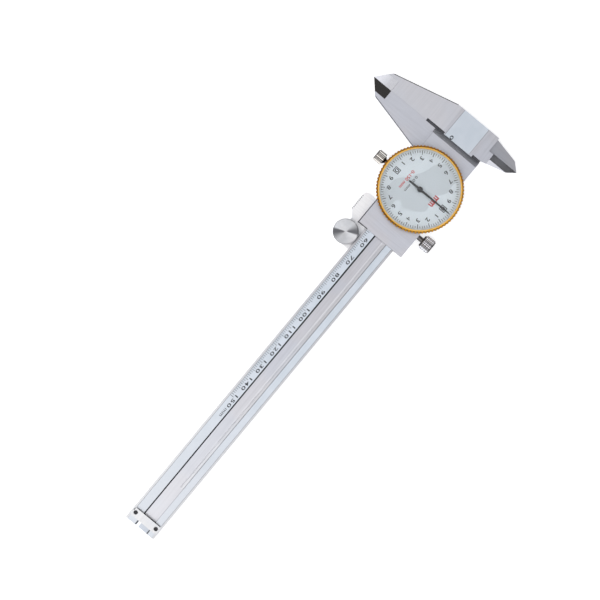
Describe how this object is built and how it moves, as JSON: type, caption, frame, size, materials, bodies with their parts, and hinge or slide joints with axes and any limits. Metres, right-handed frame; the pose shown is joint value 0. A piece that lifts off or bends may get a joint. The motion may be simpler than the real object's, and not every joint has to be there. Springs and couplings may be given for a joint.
{
  "type": "dial caliper",
  "caption": "Dial caliper with crossed inside jaws, outside jaws, a rack-driven dial on the slider, thumb roller and depth rod.",
  "frame": {"origin": "on the measuring plane of the closed outside jaws, at the beam's centreline and at the height of the back cover's back face", "axes": "+X along the beam towards the depth rod's tip, +Y across the beam towards the inside jaws, +Z out of the dial"},
  "size_m": [0.2361, 0.0763, 0.0145],
  "materials": {
    "beam_steel": "brushed along the beam",
    "slider_steel": "brushed",
    "rack_steel": "machined",
    "plate_steel": "satin",
    "cover_steel": "satin",
    "rod_steel": "ground",
    "case_metal": "turned, satin",
    "movement_brass": "machined",
    "spring_brass": "rolled",
    "gear_steel": "cut",
    "bezel_gold": "gold-coloured, satin with a coin edge",
    "dial_white": "matt printed",
    "crystal": "clear",
    "pointer_black": "satin black",
    "roller_steel": "turned face, knurled rim",
    "knob_nickel": "nickel plated, knurled",
    "screw_steel": "plain",
    "screw_black": "blackened"
  },
  "bodies": {
    "beam": {"main_beam": "beam_steel", "rack": "rack_steel", "end_stop_plate": "plate_steel", "end_stop_screw_1": "screw_black", "end_stop_screw_2": "screw_black"},
    "slider": {"slider_frame": "slider_steel", "gib_strip": "spring_brass", "gib_screw_1": "screw_steel", "gib_screw_2": "screw_steel", "back_cover": "cover_steel", "cover_screw_1": "screw_steel", "cover_screw_2": "screw_steel", "cover_screw_3": "screw_steel", "cover_screw_4": "screw_steel", "depth_rod": "rod_steel", "rod_screw_1": "screw_steel", "rod_screw_2": "screw_steel", "dial_case": "case_metal", "case_screw_1": "screw_steel", "case_screw_2": "screw_steel", "case_screw_3": "screw_steel", "case_screw_4": "screw_steel", "movement_bridge": "movement_brass", "bridge_screw_1": "screw_steel", "bridge_screw_2": "screw_steel", "pinion_bush": "movement_brass", "hairspring": "spring_brass", "hairspring_stud": "movement_brass", "bezel_snap_ring": "screw_steel", "roller_washer": "spring_brass"},
    "bezel": {"bezel_ring": "bezel_gold", "bezel_bush": "movement_brass", "dial_face": "dial_white", "crystal_spacer": "bezel_gold", "crystal": "crystal"},
    "pinion": {"pinion_arbor": "gear_steel", "intermediate_wheel": "movement_brass"},
    "pointer": {"centre_arbor": "gear_steel", "pointer": "pointer_black"},
    "takeup": {"takeup_arbor": "gear_steel", "takeup_wheel": "movement_brass"},
    "roller": {"thumb_roller": "roller_steel", "roller_screw": "screw_steel"},
    "lock_screw": {"lock_screw": "knob_nickel"},
    "bezel_clamp": {"bezel_clamp_screw": "knob_nickel"}
  },
  "joints": [
    {"name": "slider_slide", "type": "slide", "parent": "beam", "child": "slider", "axis": [1, 0, 0], "range_m": [0, 0.16]},
    {"name": "bezel_turn", "type": "hinge", "parent": "slider", "child": "bezel", "pos_m": [0.0262, -0.00035, 0.012], "axis": [0, 0, 1], "continuous": true},
    {"name": "pinion_spin", "type": "hinge", "parent": "slider", "child": "pinion", "pos_m": [0.03329, 0.00091, 0.0088], "axis": [0, 0, 1], "range_deg": [-5, 5765]},
    {"name": "pointer_spin", "type": "hinge", "parent": "slider", "child": "pointer", "pos_m": [0.0262, -0.00035, 0.012], "axis": [0, 0, 1], "range_deg": [-28825, 25]},
    {"name": "takeup_spin", "type": "hinge", "parent": "slider", "child": "takeup", "pos_m": [0.01911, 0.00091, 0.0088], "axis": [0, 0, 1], "range_deg": [-5, 5765]},
    {"name": "roller_spin", "type": "hinge", "parent": "slider", "child": "roller", "pos_m": [0.06125, -0.01385, 0.0035], "axis": [0, 0, 1], "range_deg": [-5, 1586]},
    {"name": "lock_screw_turn", "type": "hinge", "parent": "slider", "child": "lock_screw", "pos_m": [0.04255, 0.0125, 0.0036], "axis": [0, 1, 0], "range_deg": [0, 540]},
    {"name": "bezel_clamp_turn", "type": "hinge", "parent": "slider", "child": "bezel_clamp", "pos_m": [0.0262, -0.021, 0.0089], "axis": [0, 1, 0], "range_deg": [0, 360]}
  ],
  "couplings": [
    {"joint": "pinion_spin", "follows": "slider_slide", "rad_per_m": 628.32},
    {"joint": "pointer_spin", "follows": "slider_slide", "rad_per_m": -3141.6},
    {"joint": "takeup_spin", "follows": "slider_slide", "rad_per_m": 628.32},
    {"joint": "roller_spin", "follows": "slider_slide", "rad_per_m": 172.41}
  ]
}
